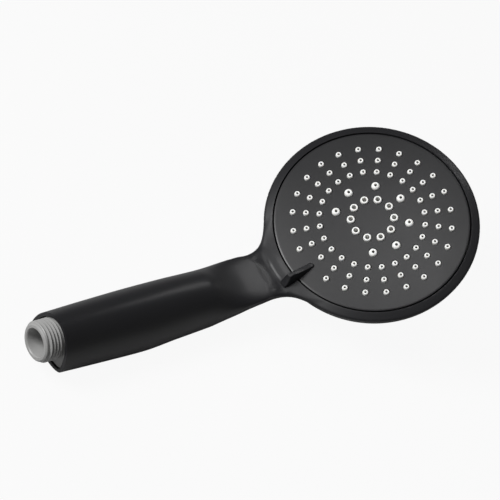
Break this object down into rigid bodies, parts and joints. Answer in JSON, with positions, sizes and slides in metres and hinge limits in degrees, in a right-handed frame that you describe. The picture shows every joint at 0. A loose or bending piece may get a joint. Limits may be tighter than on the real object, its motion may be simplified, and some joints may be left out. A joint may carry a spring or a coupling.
{
  "type": "handheld shower head",
  "caption": "Handheld shower head with a one-piece handle and round bowl, a domed spray face turned by a thumb lever, soft nozzles and a threaded hose inlet.",
  "frame": {"origin": "centre of the threaded inlet's end face, where the hose washer seats", "axes": "+Y along the handle from the inlet towards the head, +Z towards the side the water leaves, +X to the side the lever stands on"},
  "size_m": [0.111, 0.2494, 0.0653],
  "materials": {
    "black_plastic": "fine satin texture, charcoal black",
    "grey_plastic": "satin light grey, filled plastic",
    "white_silicone": "soft matt white silicone",
    "natural_acetal": "natural off-white moulding",
    "black_rubber": "black rubber seals",
    "stainless_steel": "plain stainless steel"
  },
  "bodies": {
    "handle": {"handle_shell": "black_plastic", "inlet_connector": "grey_plastic", "water_tube": "grey_plastic", "tube_oring": "black_rubber", "spigot_oring_1": "black_rubber", "spigot_oring_2": "black_rubber", "diverter_chassis": "natural_acetal", "chassis_screw_1": "stainless_steel", "chassis_screw_2": "stainless_steel", "chassis_screw_3": "stainless_steel", "hub_oring": "black_rubber", "pivot_washer": "stainless_steel", "pivot_screw": "stainless_steel", "valve_seal": "black_rubber", "valve_spring": "stainless_steel", "detent_spring": "stainless_steel"},
    "spray_face": {"face_plate": "black_plastic", "nozzle_mat": "white_silicone", "massage_nozzle_ring": "white_silicone", "spray_body": "natural_acetal", "selector_disc": "natural_acetal", "turbine_jet_plate": "natural_acetal", "selector_lever": "black_plastic"},
    "turbine": {"massage_turbine": "natural_acetal"},
    "detent": {"detent_ball": "stainless_steel"}
  },
  "joints": [
    {"name": "selector_turn", "type": "hinge", "parent": "handle", "child": "spray_face", "pos_m": [0, 0.1968, 0.0293], "axis": [0, -0.4115, 0.9114], "range_deg": [-40, 20]},
    {"name": "turbine_spin", "type": "hinge", "parent": "spray_face", "child": "turbine", "pos_m": [0, 0.1968, 0.0293], "axis": [0, -0.4115, 0.9114], "continuous": true},
    {"name": "detent_press", "type": "slide", "parent": "handle", "child": "detent", "axis": [0, -0.4115, 0.9114], "range_m": [-0.00025, 0], "stiffness_N_per_m": 800, "springref_m": 0.001}
  ]
}
